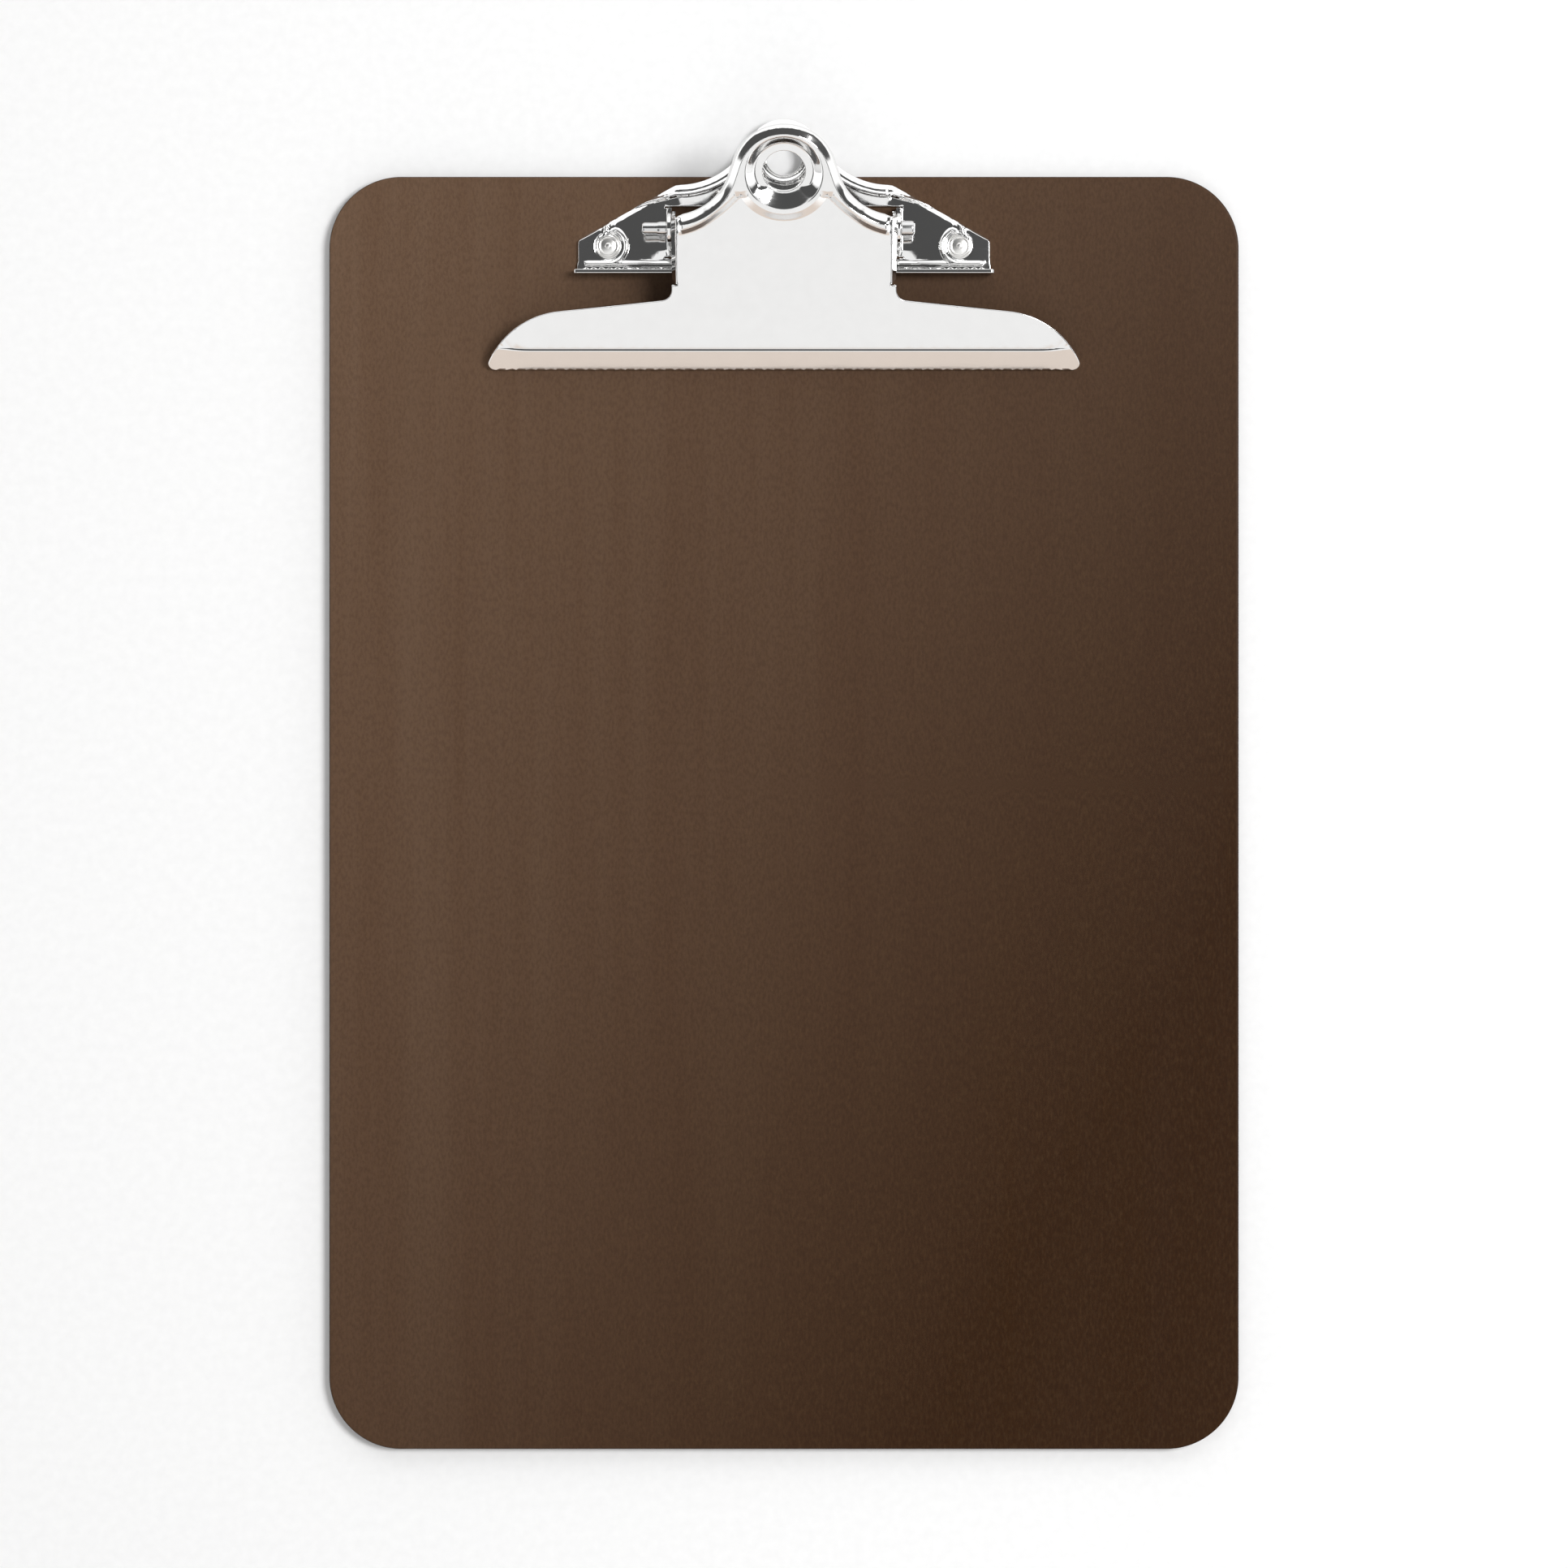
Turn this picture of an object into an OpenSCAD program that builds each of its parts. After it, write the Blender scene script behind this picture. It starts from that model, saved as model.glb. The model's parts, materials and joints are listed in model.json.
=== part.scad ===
// Clipboard: a hardboard writing board with a riveted, spring-loaded lever clip.
// The origin is in the middle of the underside of the whole object.
// +X is to the right, +Y runs towards the clip and +Z points out of the writing face.

/* [Board] */
// Board width
board_w = 228; // [220:1:240]
// Board length
board_len = 319; // [300:1:340]
// Board thickness
board_t = 3.2; // [2.8:0.1:4]
// Radius of the board's corners
corner_r = 18; // [8:1:25]

/* [Clip base] */
// Thickness of the sheet steel in the clip
sheet_t = 1; // [0.9:0.05:1.1]
// Width of the base plate
base_w = 103.6; // [100:0.2:106]
// How far the hanging loop reaches past the board's top edge
overhang = 14.5; // [14:0.1:16]
// Radius of the hanging hole
hang_hole_r = 4.6; // [4:0.1:4.8]
// Height of the paper stop above the board
stop_h = 5; // [3:0.5:7]
// Height of the stiffening beads
bead_h = 0.9; // [0.5:0.1:1.2]
// Half the distance between the rivets
rivet_x = 44; // [43:0.5:45]

/* [Lever] */
// Slope of the closed lever's plate, in degrees
lever_tilt = 27; // [25:0.5:28]
// Width of the lever's stem
stem_w = 55.8; // [55.6:0.1:55.9]
// Outer radius of the thumb loop
loop_r = 13.1; // [12.8:0.1:13.4]
// Radius of the hole in the thumb loop
lever_hole_r = 5.2; // [4.5:0.1:5.5]
// Height of the pressed rim
rim_h = 0.9; // [0.6:0.1:1.2]

/* [Pin, rivets and spring] */
// Diameter of the pivot pin
pin_d = 3; // [2.8:0.1:3]
// Diameter of the spring wire
wire_d = 1.4; // [1.2:0.1:1.4]
// Full turns in each of the spring's two coils
coil_turns = 5; // [4:1:6]
// Diameter of the rivets' shanks
rivet_d = 3.6; // [3.2:0.1:3.8]

/* [Hidden] */

// Round surfaces
fine = $preview ? 48 : 96;
// Overlap between solids that are joined, and the run of a cutter past a face
lap = 0.01;
cut = 1;

// Board ends, along Y
board_y0 = -(board_len + overhang) / 2;
board_y1 = board_y0 + board_len;

// Base plate, measured back from the board's top edge
base_top = board_t + sheet_t;
loop_outer_r = 9.6;
loop_y = board_y1 + overhang - loop_outer_r;
base_y0 = board_y1 - 24.65;
base_side_y = board_y1 - 15.85;
shoulder = [27.2, board_y1 - 2.1];
neck_r = 19.6;
neck = [26.4, shoulder[1] + neck_r];
stop_w = base_w + 1.6;

// Beads pressed into the base plate
bead_w = 1.8;
bead_inset = 2.6;
low_bead_y = base_y0 + 2.35;
ring_inner_r = 6.1;
ring_outer_r = 8.6;
curl_r = 4.45;
curl_end = 240;
rivet_y = board_y1 - 17.45;

// Pivot axis, parallel to X
pivot_y = board_y1 - 14.05;
pivot_z = board_t + 9.5;

// Ears that carry the pin, and the windows they are bent up from
ear_x = 28.05;
ear_len = 12.3;
ear_r = 3.8;
window_x = 15;

// Pin ends, measured from the middle of the clip
pin_left_x = -35.4;
pin_right_x = 32.5;
pin_head_r = 1.95;
pin_collar_r = 1.75;
pin_collar_x = [-31.4, -29.2];
pin_end_bevel = 0.5;
ear_gap = 0.05;

// Lever plate, in its own tilted frame: v runs up the plate from below the pin and w is its normal
plate_w = 9.95;
hole_v = 18.2;
loop_v = 17.1;
stem_x = stem_w / 2;
flare_r = 14.8;
flare_c = [stem_x + 0.1, 21.2];
waist_r = 3;
waist_v = -12.5;
wing_start = [stem_x + waist_r, waist_v - waist_r];
wing_r = 21.6;
wing_c = [53.6, -39.7];
wing_slope = 6.2;
crease_v = -28.6;
lip_r = 16.6;
lip_start = 11;
lip_end = 37;
jaw_gap = 0.12;
flange_v = [6.4, -11.4];
lug_r = 4.25;
pin_play = 0.05;

// Pressed rim of the lever: distances in from the edge where it rises and falls
rim_outer = 1.9;
rim_flat = 3.4;
rim_inner = 4.9;

// Spring coils and legs
coil_r = pin_d / 2 + 0.4 + wire_d / 2;
coil_pitch = wire_d + 0.1;
coil_x = 8;
wire_gap = 0.05;
rest_y = 8.6;
rest_z = base_top + wire_d / 2 + wire_gap - pivot_z;
push_v = 6;
foot_x = 4.5;
wire_bend = 1.6;
wire_sides = 8;
arc_steps = 14;

// Rivets
rivet_r = rivet_d / 2;
rivet_head_r = 4;
rivet_head_t = 1.5;
rivet_rim_t = 0.3;
roll_r = 0.95;
roll_mid_r = 1.95;
rivet_bore_r = 1.05;
rivet_bore_z = 2.2;

function unit(v) = v / norm(v);
function polar(r, a) = r * [cos(a), sin(a)];

// Angle on a circle of radius r about the origin of its tangent through p, on the side given by 1 or -1
function tangent_angle(p, r, side) = atan2(p[1], p[0]) + side * acos(r / norm(p));

// Runs a profile drawn in the plane of Y and Z along X, from x0 to x1
module along_x(x0, x1) {
    translate([x0, 0, 0]) rotate([90, 0, 90]) linear_extrude(x1 - x0) children();
}

module both_sides() {
    children();
    mirror([1, 0, 0]) children();
}

// A flat piece with a rounded end about the pivot, whose foot runs from a to b
module lug(a, b, r) {
    side = sign(a[0] * b[1] - a[1] * b[0]);
    polygon([a, b, polar(r, tangent_angle(b, r, side)), polar(r, tangent_angle(a, r, -side))]);
    circle(r, $fn = fine);
}

// ---- Board ----

module board_outline() {
    ym = (board_y0 + board_y1) / 2;
    square_at = [board_w - 2 * corner_r, board_len - 2 * corner_r];
    translate([0, ym]) {
        square([board_w, square_at[1]], center = true);
        square([square_at[0], board_len], center = true);
        for (sx = [-1, 1], sy = [-1, 1])
            translate([sx * square_at[0], sy * square_at[1]] / 2) circle(corner_r, $fn = fine);
    }
}

module board() {
    color("saddlebrown") difference() {
        linear_extrude(board_t) board_outline();
        for (s = [-1, 1]) translate([s * rivet_x, rivet_y, 0]) {
            translate([0, 0, -cut]) cylinder(r = rivet_r, h = board_t + 2 * cut, $fn = fine);
            rivet_head();
        }
    }
}

// ---- Rivets ----

module rivet_head() {
    rotate_extrude($fn = fine)
        polygon([[0, 0], [rivet_head_r, 0], [rivet_head_r, rivet_rim_t], [rivet_r, rivet_head_t],
                 [0, rivet_head_t]]);
}

module rivet(s) {
    translate([s * rivet_x, rivet_y, 0]) difference() {
        union() {
            rivet_head();
            cylinder(r = rivet_r, h = base_top + roll_r / 2, $fn = fine);
            intersection() {
                rotate_extrude($fn = fine) translate([roll_mid_r, base_top + roll_r / 2])
                    circle(roll_r, $fn = fine);
                translate([0, 0, base_top]) cylinder(r = 2 * roll_mid_r, h = 2 * roll_r, $fn = fine);
            }
        }
        translate([0, 0, rivet_bore_z]) cylinder(r = rivet_bore_r, h = base_top + 2 * roll_r, $fn = fine);
    }
}

module rivet_left() { color("gainsboro") rivet(-1); }
module rivet_right() { color("gainsboro") rivet(1); }

// ---- Clip base ----

module base_outline() {
    waist = neck + (neck_r / norm([0, loop_y] - neck)) * ([0, loop_y] - neck);
    difference() {
        union() {
            polygon([[-base_w / 2, base_y0], [base_w / 2, base_y0], [base_w / 2, base_side_y],
                     shoulder, waist, [-waist[0], waist[1]], [-shoulder[0], shoulder[1]],
                     [-base_w / 2, base_side_y]]);
            translate([0, loop_y]) circle(loop_outer_r, $fn = fine);
        }
        for (s = [-1, 1]) translate([s * neck[0], neck[1]]) circle(neck_r, $fn = fine);
    }
}

// A straight bead with round ends
module bead(a, b) {
    translate(a) rotate(atan2(b[1] - a[1], b[0] - a[0]))
        translate([0, -bead_w / 2]) square([norm(b - a), bead_w]);
    for (p = [a, b]) translate(p) circle(bead_w / 2, $fn = fine);
}

// The beads on one half: down the slope, round the inner side of the rivet and along the front
module half_beads() {
    slope = unit(shoulder - [base_w / 2, base_side_y]);
    inward = [-slope[1], slope[0]];
    to_rivet = [rivet_x, rivet_y] - shoulder;
    bead_gap = to_rivet * inward - bead_inset;
    curl_run = sqrt(curl_r * curl_r - bead_gap * bead_gap);
    curl_start = [rivet_x, rivet_y] - bead_gap * inward + curl_run * slope;
    from_rivet = curl_start - [rivet_x, rivet_y];
    far = 4 * curl_r;
    bead(shoulder + bead_inset * inward, curl_start);
    bead([0, low_bead_y], [base_w / 2 - bead_inset, low_bead_y]);
    translate([rivet_x, rivet_y]) intersection() {
        difference() {
            circle(curl_r + bead_w / 2, $fn = fine);
            circle(curl_r - bead_w / 2, $fn = fine);
        }
        polygon([[0, 0], polar(far, atan2(from_rivet[1], from_rivet[0])), [-far, 0], polar(far, curl_end)]);
    }
}

module ear_profile() {
    foot_z = base_top - pivot_z - lap;
    lug([-ear_len / 2, foot_z], [ear_len / 2, foot_z], ear_r);
}

module clip_base() {
    color("gainsboro") difference() {
        union() {
            translate([0, 0, board_t]) linear_extrude(sheet_t) base_outline();
            translate([0, 0, base_top - lap]) linear_extrude(bead_h + lap) intersection() {
                both_sides() half_beads();
                base_outline();
            }
            translate([0, loop_y, base_top - lap]) difference() {
                cylinder(r = ring_outer_r, h = bead_h + lap, $fn = fine);
                translate([0, 0, -cut]) cylinder(r = ring_inner_r, h = bead_h + 2 * cut, $fn = fine);
            }
            translate([-stop_w / 2, base_y0, board_t]) cube([stop_w, sheet_t, stop_h]);
            both_sides() translate([0, pivot_y, pivot_z]) along_x(ear_x, ear_x + sheet_t) ear_profile();
        }
        translate([0, loop_y, board_t - cut]) cylinder(r = hang_hole_r, h = sheet_t + 2 * cut, $fn = fine);
        both_sides() translate([window_x, pivot_y - ear_len / 2, board_t - cut])
            cube([ear_x - window_x, ear_len, sheet_t + bead_h + 2 * cut]);
        for (s = [-1, 1]) translate([s * rivet_x, rivet_y, 0])
            cylinder(r = rivet_r, h = pivot_z, $fn = fine);
        translate([0, pivot_y, pivot_z]) rotate([0, 90, 0])
            cylinder(d = pin_d, h = base_w, center = true, $fn = fine);
    }
}

// ---- Pivot pin ----

module pivot_pin() {
    r = pin_d / 2;
    ear_out = ear_x + sheet_t + ear_gap;
    b = pin_end_bevel;
    color("silver") translate([0, pivot_y, pivot_z]) rotate([0, 90, 0]) rotate_extrude($fn = fine)
        polygon([[0, pin_left_x], [r - b, pin_left_x], [r, pin_left_x + b], [r, pin_collar_x[0]],
                 [pin_collar_r, pin_collar_x[0] + b], [pin_collar_r, pin_collar_x[1]], [r, pin_collar_x[1]],
                 [r, ear_out], [pin_head_r, ear_out], [pin_head_r, pin_right_x - b],
                 [pin_head_r - b, pin_right_x], [0, pin_right_x]]);
}

// ---- Torsion spring ----

// The points of a rounded corner at p between its neighbours a and b
function corner(a, p, b) =
    let (u = p + wire_bend * unit(a - p), v = p + wire_bend * unit(b - p))
    [for (t = [0:0.25:1]) (1 - t) * (1 - t) * u + 2 * t * (1 - t) * p + t * t * v];

// Half of the wire's centre line, from the middle of the cross bar to the foot under the lever
function spring_half() =
    let (rest = [rest_y, rest_z],
         push_w = plate_w - sheet_t - wire_d / 2 - wire_gap,
         push = [push_v * cos(lever_tilt) - push_w * sin(lever_tilt),
                 push_v * sin(lever_tilt) + push_w * cos(lever_tilt)],
         a0 = tangent_angle(rest, coil_r, -1) + 360,
         a1 = tangent_angle(push, coil_r, 1) - 360 * coil_turns,
         steps = round((a0 - a1) / 360 * arc_steps),
         coil_end = coil_x + coil_pitch * (a0 - a1) / 360,
         coil = [for (i = [0:steps]) let (t = i / steps, q = polar(coil_r, a0 + t * (a1 - a0)))
                 [coil_x + t * (coil_end - coil_x), q[0], q[1]]],
         bar_corner = [coil_x, rest[0], rest[1]],
         foot_corner = [coil_end, push[0], push[1]],
         foot_end = foot_corner + [foot_x, 0, 0])
    concat([[1, rest[0], rest[1]]], corner([0, rest[0], rest[1]], bar_corner, coil[0]), coil,
           corner(coil[steps], foot_corner, foot_end), [foot_end]);

// A round wire swept along the points p
module wire(p) {
    n = len(p);
    t = [for (i = [0:n - 1]) unit(p[min(i + 1, n - 1)] - p[max(i - 1, 0)])];
    side0 = unit(cross(t[0], [0, 0.3, 1]));
    side = [for (i = 0, s = side0; i < n; i = i + 1, s = i < n ? unit(s - (s * t[i]) * t[i]) : s) s];
    rings = [for (i = [0:n - 1], k = [0:wire_sides - 1])
             let (q = polar(wire_d / 2, 360 * k / wire_sides))
                 p[i] + q[0] * side[i] + q[1] * cross(t[i], side[i])];
    walls = [for (i = [0:n - 2], k = [0:wire_sides - 1]) let (m = (k + 1) % wire_sides, j = i * wire_sides)
             [j + k, j + wire_sides + k, j + wire_sides + m, j + m]];
    polyhedron(rings, concat([[for (k = [0:wire_sides - 1]) k]], walls,
                             [[for (k = [wire_sides - 1:-1:0]) (n - 1) * wire_sides + k]]));
}

module torsion_spring() {
    half = spring_half();
    mirrored = [for (i = [len(half) - 1:-1:0]) [-half[i][0], half[i][1], half[i][2]]];
    color("dimgray") translate([0, pivot_y, pivot_z]) wire(concat(mirrored, half));
}

// ---- Clip lever ----

// Outline of half of the lever's plate, carried on past the crease for the lip
module half_lever_outline() {
    reach = wing_c + polar(wing_r, 90 - wing_slope);
    span = flare_c - [0, loop_v];
    touch = polar(1, atan2(span[1], span[0]) + acos((loop_r + flare_r) / norm(span)));
    difference() {
        union() {
            translate([0, loop_v]) circle(loop_r, $fn = fine);
            polygon([[-cut, loop_v], [-cut, 2 * crease_v], [stem_x, 2 * crease_v],
                     [stem_x, flare_c[1] - flare_r], flare_c - flare_r * touch,
                     [0, loop_v] + loop_r * touch]);
            polygon([[-cut, waist_v], [wing_start[0], waist_v], wing_start, reach, wing_c,
                     [-cut, wing_c[1]]]);
            intersection() {
                translate(wing_c) circle(wing_r, $fn = fine);
                translate([wing_c[0], crease_v * 2]) square([2 * wing_r, 4 * wing_r]);
            }
        }
        translate(flare_c) circle(flare_r, $fn = fine);
        translate([wing_start[0], waist_v]) circle(waist_r, $fn = fine);
    }
}

// The rim's cross-section beside an edge that lies at radius r, going inwards in direction d
module rim_profile(r, d) {
    polygon([[r, -sheet_t / 2], [r, 0], [r + d * rim_outer, rim_h], [r + d * rim_flat, rim_h],
             [r + d * rim_inner, 0], [r + d * rim_inner, -sheet_t / 2]]);
}

module lever_plate() {
    translate([0, 0, plate_w - sheet_t]) linear_extrude(sheet_t) difference() {
        intersection() {
            both_sides() half_lever_outline();
            translate([-2 * wing_c[0], crease_v]) square(4 * wing_c[0]);
        }
        translate([0, hole_v]) circle(lever_hole_r, $fn = fine);
    }
}

module lever_rim() {
    translate([0, loop_v, plate_w]) rotate_extrude($fn = fine) rim_profile(loop_r, -1);
    both_sides() intersection() {
        translate([flare_c[0], flare_c[1], plate_w]) rotate_extrude($fn = fine) rim_profile(flare_r, 1);
        translate([0, flare_c[1] - flare_r - rim_inner, plate_w - sheet_t])
            cube([stem_x, 2 * rim_inner, 3 * sheet_t]);
    }
}

// The curved lip that turns down from the crease to press on the paper
module lever_lip() {
    c = [crease_v + lip_r * sin(lip_start), plate_w - lip_r * cos(lip_start)];
    far = 2 * lip_r;
    intersection() {
        along_x(-2 * wing_c[0], 2 * wing_c[0]) translate(c) intersection() {
            difference() {
                circle(lip_r, $fn = fine);
                circle(lip_r - sheet_t, $fn = fine);
            }
            polygon([[0, 0], polar(far, 90 + lip_start), polar(far, 90 + lip_end)]);
        }
        linear_extrude(plate_w + sheet_t) both_sides() half_lever_outline();
    }
}

module flange_profile() {
    lug([flange_v[1], plate_w - sheet_t / 2], [flange_v[0], plate_w - sheet_t / 2], lug_r);
}

module clip_lever() {
    color("whitesmoke") difference() {
        translate([0, pivot_y, pivot_z]) rotate([lever_tilt, 0, 0]) difference() {
            union() {
                lever_plate();
                lever_rim();
                lever_lip();
                both_sides() along_x(stem_x - sheet_t, stem_x) flange_profile();
            }
            rotate([0, 90, 0]) cylinder(r = pin_d / 2 + pin_play, h = base_w, center = true, $fn = fine);
            translate([0, hole_v, 0]) cylinder(r = lever_hole_r, h = 2 * plate_w, $fn = fine);
        }
        translate([-board_w / 2, 0, 0]) cube([board_w, pivot_y, board_t + jaw_gap]);
    }
}

board();
clip_base();
clip_lever();
pivot_pin();
torsion_spring();
rivet_left();
rivet_right();
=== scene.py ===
"""A hardboard clipboard with a chromed lever clip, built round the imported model's frame.

Shapes are worked out in millimetres and written to meshes in metres. Each stamping is one closed sheet:
its flat blank is triangulated, its beads are raised, and its tabs are folded up or down.
"""
import json
import math

import bpy
import numpy as np
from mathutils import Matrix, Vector
from mathutils.geometry import delaunay_2d_cdt


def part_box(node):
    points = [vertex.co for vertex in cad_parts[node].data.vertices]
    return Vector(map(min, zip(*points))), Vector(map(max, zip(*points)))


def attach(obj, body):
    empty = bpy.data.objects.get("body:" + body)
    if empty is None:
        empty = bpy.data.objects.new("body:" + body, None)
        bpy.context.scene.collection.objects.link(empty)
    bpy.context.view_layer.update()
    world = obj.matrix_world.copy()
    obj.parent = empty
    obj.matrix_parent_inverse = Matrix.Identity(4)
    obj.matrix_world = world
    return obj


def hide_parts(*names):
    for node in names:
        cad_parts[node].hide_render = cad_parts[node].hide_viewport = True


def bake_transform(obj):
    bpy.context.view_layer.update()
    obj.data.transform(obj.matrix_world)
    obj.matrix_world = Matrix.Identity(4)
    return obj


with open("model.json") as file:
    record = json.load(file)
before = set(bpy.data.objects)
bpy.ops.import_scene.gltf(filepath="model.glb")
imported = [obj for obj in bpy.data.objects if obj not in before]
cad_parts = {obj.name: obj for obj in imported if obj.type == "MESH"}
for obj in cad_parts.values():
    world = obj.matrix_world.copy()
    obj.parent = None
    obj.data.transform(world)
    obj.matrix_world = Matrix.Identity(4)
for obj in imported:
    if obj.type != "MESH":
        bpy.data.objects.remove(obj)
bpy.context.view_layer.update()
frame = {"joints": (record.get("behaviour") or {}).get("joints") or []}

MM = 0.001
TINY = 1e-12
MERGE = 1e-6
BATCH = 2000

# ---- Places taken from the frame ----


def box_mm(node):
    low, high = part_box(node)
    return np.array(low) / MM, np.array(high) / MM


BOARD_LOW, BOARD_HIGH = box_mm("board")
BASE_HIGH = box_mm("clip_base")[1]
PIVOT = np.array(frame["joints"][0]["pos_m"]) / MM
BOARD_T = BOARD_HIGH[2]
BOARD_END = BOARD_HIGH[1]

# ---- Flat geometry ----


def unit(v):
    v = np.asarray(v, float)
    return v / np.linalg.norm(v)


def polar(r, degrees):
    a = math.radians(degrees)
    return r * np.array([math.cos(a), math.sin(a)])


def arc(centre, r, a0, a1, step=0.5):
    """Points along an arc, angles in degrees, about step millimetres apart."""
    n = max(3, math.ceil(abs(math.radians(a1 - a0)) * r / step))
    return [np.asarray(centre, float) + polar(r, a) for a in np.linspace(a0, a1, n + 1)]


def line(p, q, step=1.0):
    """Points along a straight line, at most step millimetres apart."""
    p, q = np.asarray(p, float), np.asarray(q, float)
    n = max(1, math.ceil(np.linalg.norm(q - p) / step))
    return [p + (q - p) * t for t in np.linspace(0, 1, n + 1)]


def chain(*parts):
    """One polyline from several, without repeated points."""
    out = []
    for part in parts:
        for p in part:
            if not out or np.linalg.norm(p - out[-1]) > MERGE:
                out.append(np.asarray(p, float))
    return out


def mirrored(points):
    return [p * np.array([-1, 1]) for p in reversed(points)]


def whole(half):
    """A closed outline from its right half, which starts and ends on the middle line."""
    loop = chain(half, mirrored(half))
    return np.array(loop[:-1] if np.linalg.norm(loop[0] - loop[-1]) < MERGE else loop)


def circle(centre, r, step=0.4):
    return np.array(arc(centre, r, 0, 360, step)[:-1])


def tangent_point(p, centre, r, side):
    """Where the tangent from p touches a circle, on the side given by 1 or -1, and its angle there."""
    d = np.asarray(p, float) - centre
    a = math.degrees(math.atan2(d[1], d[0])) + side * math.degrees(math.acos(r / np.linalg.norm(d)))
    return centre + polar(r, a), a


def rounded(points, radii, step=0.4):
    """A polyline with its inner corners rounded. radii has one value for each point between the ends."""
    nearly_straight = math.pi / 2 - 1e-4
    out = [np.asarray(points[0], float)]
    for before, p, after, r in zip(points, points[1:], points[2:], radii):
        p = np.asarray(p, float)
        u, v = unit(np.subtract(before, p)), unit(np.subtract(after, p))
        half = math.acos(np.clip(u @ v, -1, 1)) / 2
        if half > nearly_straight:
            out.append(p)
            continue
        cut = r / math.tan(half)
        n = max(3, math.ceil(r * (math.pi - 2 * half) / step))
        a, b = p + cut * u, p + cut * v
        centre = p + unit(u + v) * r / math.sin(half)
        for t in np.linspace(0, 1, n + 1):
            out.append(centre + r * unit(a + (b - a) * t - centre))
    out.append(np.asarray(points[-1], float))
    return chain(*[line(p, q) for p, q in zip(out, out[1:])])


def segments(polyline, closed):
    """The start and the end of each segment."""
    a = np.asarray(polyline, float)
    b = np.roll(a, -1, axis=0)
    return (a, b) if closed else (a[:-1], b[:-1])


def batches(points):
    """Slices of a limited size, because each point is compared with every segment at once."""
    return [slice(i, i + BATCH) for i in range(0, len(points), BATCH)]


def distance(points, polylines, closed=True):
    """The distance from each point to the nearest of the polylines."""
    best = np.full(len(points), np.inf)
    for polyline in polylines:
        a, b = segments(polyline, closed)
        ab = b - a
        square = np.maximum((ab * ab).sum(1), TINY)
        for some in batches(points):
            p = points[some, None, :]
            t = np.clip(((p - a) * ab).sum(2) / square, 0, 1)
            d = np.sqrt((((a + ab * t[..., None]) - p) ** 2).sum(2)).min(1)
            best[some] = np.minimum(best[some], d)
    return best


def inside(points, loops):
    """Whether each point is inside the outline and outside its holes."""
    odd = np.zeros(len(points), bool)
    for loop in loops:
        a, b = segments(loop, True)
        run, rise = (b - a).T
        rise = np.where(np.abs(rise) < TINY, TINY, rise)
        for some in batches(points):
            x, y = points[some, 0, None], points[some, 1, None]
            spans = (a[:, 1] > y) != (b[:, 1] > y)
            left = x < run * (y - a[:, 1]) / rise + a[:, 0]
            odd[some] ^= ((spans & left).sum(1) % 2).astype(bool)
    return odd


def offsets(polyline, closed, distances):
    """Points at each signed distance to the left of a polyline."""
    a = np.asarray(polyline, float)
    if closed:
        along = np.roll(a, -1, axis=0) - np.roll(a, 1, axis=0)
    else:
        along = np.gradient(a, axis=0)
    along /= np.linalg.norm(along, axis=1)[:, None]
    left = np.stack([-along[:, 1], along[:, 0]], 1)
    return np.concatenate([a + d * left for d in distances])


def both_sides(distances):
    return [s * d for d in distances for s in (1, -1)]


def row(p, q, step):
    """An array of points along a straight line, about step millimetres apart."""
    return np.linspace(p, q, max(2, round(np.linalg.norm(np.subtract(q, p)) / step) + 1))


def grid(x0, x1, y0, y1, step):
    x, y = (np.linspace(a, b, max(2, round((b - a) / step) + 1)) for a, b in ((x0, x1), (y0, y1)))
    return np.stack(np.meshgrid(x, y), -1).reshape(-1, 2)


def both(points):
    """Points and their mirror images."""
    return np.concatenate([points, points * [-1, 1]])


def smooth(a, b, x):
    """0 at a and 1 at b, in an S curve between them and level outside."""
    t = np.clip((x - a) / (b - a), 0, 1)
    return t * t * (3 - 2 * t)


def ramp(a, b, x, r):
    """0 at a and 1 at b, straight between them and level outside, with corners rounded over r."""
    if a > b:
        return 1 - ramp(b, a, x, r)

    def knee(v):
        return np.where(v > r, v, np.where(v < -r, 0, (v + r) ** 2 / (4 * r)))

    return (knee(x - a) - knee(x - b)) / (b - a)


# ---- Meshes ----


def new_mesh(name, vertices, faces, body, slot, material):
    """A smooth mesh whose normals lean to its larger faces, so that flat metal reflects flat."""
    mesh = bpy.data.meshes.new(name)
    mesh.from_pydata([tuple(v) for v in np.asarray(vertices) * MM], [], [tuple(f) for f in faces])
    mesh.validate()
    mesh.shade_smooth()
    mesh.update()
    count = len(mesh.polygons)
    normals, areas = np.zeros(count * 3), np.zeros(count)
    mesh.polygons.foreach_get("normal", normals)
    mesh.polygons.foreach_get("area", areas)
    normals = normals.reshape(-1, 3) * areas[:, None]
    corners = np.zeros(len(mesh.loops), int)
    mesh.loops.foreach_get("vertex_index", corners)
    sizes = np.zeros(count, int)
    mesh.polygons.foreach_get("loop_total", sizes)
    total = np.zeros((len(mesh.vertices), 3))
    np.add.at(total, corners, np.repeat(normals, sizes, axis=0))
    total /= np.maximum(np.linalg.norm(total, axis=1), 1e-30)[:, None]
    mesh.normals_split_custom_set_from_vertices([tuple(n) for n in total])
    mesh.materials.append(material)
    piece = bpy.data.objects.new(name, mesh)
    bpy.context.scene.collection.objects.link(piece)
    if body:
        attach(piece, body)
    return piece


# Rows of points beside each edge, spaced for an edge rounded by EDGE_ROWS_R
EDGE_ROWS = (0.06, 0.14, 0.25, 0.4)
EDGE_ROWS_R = 0.25
SEED_GAP = 0.05
CDT_GAP = 1e-5


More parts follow.
